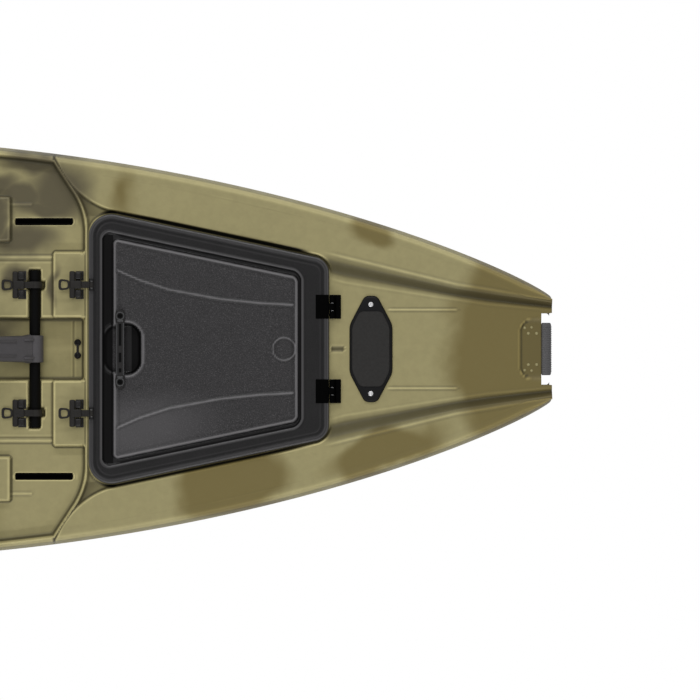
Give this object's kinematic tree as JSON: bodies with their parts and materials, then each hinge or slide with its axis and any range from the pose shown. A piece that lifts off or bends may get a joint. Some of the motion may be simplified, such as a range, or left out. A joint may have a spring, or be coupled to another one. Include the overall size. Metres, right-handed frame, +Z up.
{
  "type": "pedal kayak",
  "caption": "Sit-on-top pedal kayak with a bow hatch, tilting propeller drive, framed seat, tank well and fold-down stern rudder.",
  "frame": {"origin": "middle of the bounding box in plan, on the keel's resting plane", "axes": "+X to the bow, +Y to port, +Z up"},
  "size_m": [3.2, 0.93, 0.8434],
  "materials": {
    "hull_plastic": "rotomoulded, satin, soft camouflage",
    "foam": "closed cell foam",
    "gasket_rubber": "matt",
    "lid_plastic": "fine leather grain",
    "black_plastic": "satin",
    "latch_rubber": "satin",
    "stainless": "brushed",
    "gear_steel": "machined",
    "eva_pad": "pebbled",
    "grey_plastic": "satin",
    "black_anodised": "anodised",
    "drive_plastic": "satin",
    "nylon": "smooth",
    "prop_plastic": "smooth",
    "clear_anodised": "anodised",
    "seat_mesh": "woven",
    "blade_plastic": "smooth"
  },
  "bodies": {
    "hull": {"hull_shell": "hull_plastic", "deck_shell": "hull_plastic", "bow_foam": "foam", "stern_foam": "foam", "hatch_gasket": "gasket_rubber", "lid_hinge_leaves": "black_plastic", "lid_hinge_pins": "stainless", "latch_keepers": "black_plastic", "accessory_plate": "black_plastic", "plate_pad": "eva_pad", "plate_screws": "stainless", "bow_handle": "grey_plastic", "deck_eyelet": "black_plastic", "gear_tracks": "black_plastic", "side_handles": "black_plastic", "handle_bolts": "stainless", "rod_holders": "black_plastic", "drive_tube": "black_anodised", "seat_rails": "clear_anodised", "rudder_bracket": "clear_anodised", "rudder_pins": "stainless", "lever_base": "black_plastic"},
    "drain_plug": {"drain_plug": "black_plastic"},
    "hatch_lid": {"hatch_lid": "lid_plastic", "lid_handle": "black_plastic", "lid_handle_screws": "stainless", "lid_latch_pins": "stainless"},
    "lid_latch_left": {"lid_latch_left": "latch_rubber"},
    "lid_latch_right": {"lid_latch_right": "latch_rubber"},
    "drive_latch_left": {"drive_latch_left": "latch_rubber"},
    "drive_latch_right": {"drive_latch_right": "latch_rubber"},
    "drive": {"drive_arm": "grey_plastic", "arm_bushes": "nylon", "gearbox_left": "drive_plastic", "gearbox_right": "drive_plastic", "drive_leg": "drive_plastic", "gearcase": "drive_plastic", "drive_bearings": "stainless", "prop_seal": "gasket_rubber"},
    "crank": {"crank_axle": "stainless", "crank_gear": "gear_steel", "crank_arm_left": "black_anodised", "crank_arm_right": "black_anodised"},
    "pedal_left": {"pedal_left": "black_plastic"},
    "pedal_right": {"pedal_right": "black_plastic"},
    "drive_shaft": {"drive_shaft": "stainless", "upper_pinion": "gear_steel", "lower_gear": "gear_steel"},
    "propeller": {"prop_shaft": "stainless", "prop_gear": "gear_steel", "propeller": "prop_plastic", "prop_nut": "stainless"},
    "seat": {"seat_frame": "black_anodised", "seat_cushion": "seat_mesh", "seat_hinge_pins": "stainless"},
    "backrest": {"backrest_frame": "black_anodised", "backrest_cushion": "seat_mesh"},
    "rudder": {"rudder_head": "black_plastic"},
    "rudder_blade": {"rudder_blade": "blade_plastic"},
    "steering_lever": {"steering_lever": "black_plastic"}
  },
  "joints": [
    {"name": "lid_hinge", "type": "hinge", "parent": "hull", "child": "hatch_lid", "pos_m": [1.122, 0, 0.362], "axis": [0, 1, 0], "range_deg": [0, 100]},
    {"name": "lid_latch_left_lift", "type": "hinge", "parent": "hatch_lid", "child": "lid_latch_left", "pos_m": [0.598, 0.14, 0.371], "axis": [0, 1, 0], "range_deg": [0, 110]},
    {"name": "lid_latch_right_lift", "type": "hinge", "parent": "hatch_lid", "child": "lid_latch_right", "pos_m": [0.598, -0.14, 0.371], "axis": [0, 1, 0], "range_deg": [0, 110]},
    {"name": "drive_latch_left_lift", "type": "hinge", "parent": "hull", "child": "drive_latch_left", "pos_m": [0.472, 0.14, 0.318], "axis": [0, 1, 0], "range_deg": [0, 100]},
    {"name": "drive_latch_right_lift", "type": "hinge", "parent": "hull", "child": "drive_latch_right", "pos_m": [0.472, -0.14, 0.318], "axis": [0, 1, 0], "range_deg": [0, 100]},
    {"name": "drive_tilt", "type": "hinge", "parent": "hull", "child": "drive", "pos_m": [0.472, 0, 0.318], "axis": [0, 1, 0], "range_deg": [-40, 15]},
    {"name": "crank_spin", "type": "hinge", "parent": "drive", "child": "crank", "pos_m": [0.23013, 0, 0.72982], "axis": [0, 1, 0], "continuous": true},
    {"name": "pedal_left_spin", "type": "hinge", "parent": "crank", "child": "pedal_left", "pos_m": [0.14656, 0.121, 0.63024], "axis": [0, 1, 0], "continuous": true},
    {"name": "pedal_right_spin", "type": "hinge", "parent": "crank", "child": "pedal_right", "pos_m": [0.31369, -0.121, 0.82941], "axis": [0, 1, 0], "continuous": true},
    {"name": "drive_shaft_spin", "type": "hinge", "parent": "drive", "child": "drive_shaft", "pos_m": [-0.18254, 0, 0.23802], "axis": [0.6428, 0, 0.766], "continuous": true},
    {"name": "propeller_spin", "type": "hinge", "parent": "drive", "child": "propeller", "pos_m": [-0.18254, 0, 0.23802], "axis": [0.766, 0, -0.6428], "continuous": true},
    {"name": "seat_slide", "type": "slide", "parent": "hull", "child": "seat", "axis": [1, 0, 0], "range_m": [-0.015, 0.05]},
    {"name": "backrest_fold", "type": "hinge", "parent": "seat", "child": "backrest", "pos_m": [-0.84, 0, 0.4], "axis": [0, 1, 0], "range_deg": [-10, 50]},
    {"name": "lever_turn", "type": "hinge", "parent": "hull", "child": "steering_lever", "pos_m": [-0.2, 0.375, 0.35], "axis": [0, 0, 1], "range_deg": [-30, 30]},
    {"name": "rudder_steer", "type": "hinge", "parent": "hull", "child": "rudder", "pos_m": [-1.555, 0, 0.255], "axis": [0, 0, 1], "range_deg": [-35, 35]},
    {"name": "rudder_fold", "type": "hinge", "parent": "rudder", "child": "rudder_blade", "pos_m": [-1.584, 0, 0.395], "axis": [0, 1, 0], "range_deg": [-265, 0]},
    {"name": "drain_plug_turn", "type": "hinge", "parent": "hull", "child": "drain_plug", "pos_m": [-1.56, 0.09, 0.19], "axis": [1, 0, 0], "range_deg": [0, 350]}
  ],
  "couplings": [
    {"joint": "drive_shaft_spin", "follows": "crank_spin", "ratio": 5},
    {"joint": "propeller_spin", "follows": "crank_spin", "ratio": 10},
    {"joint": "rudder_steer", "follows": "lever_turn", "ratio": 1.15}
  ]
}
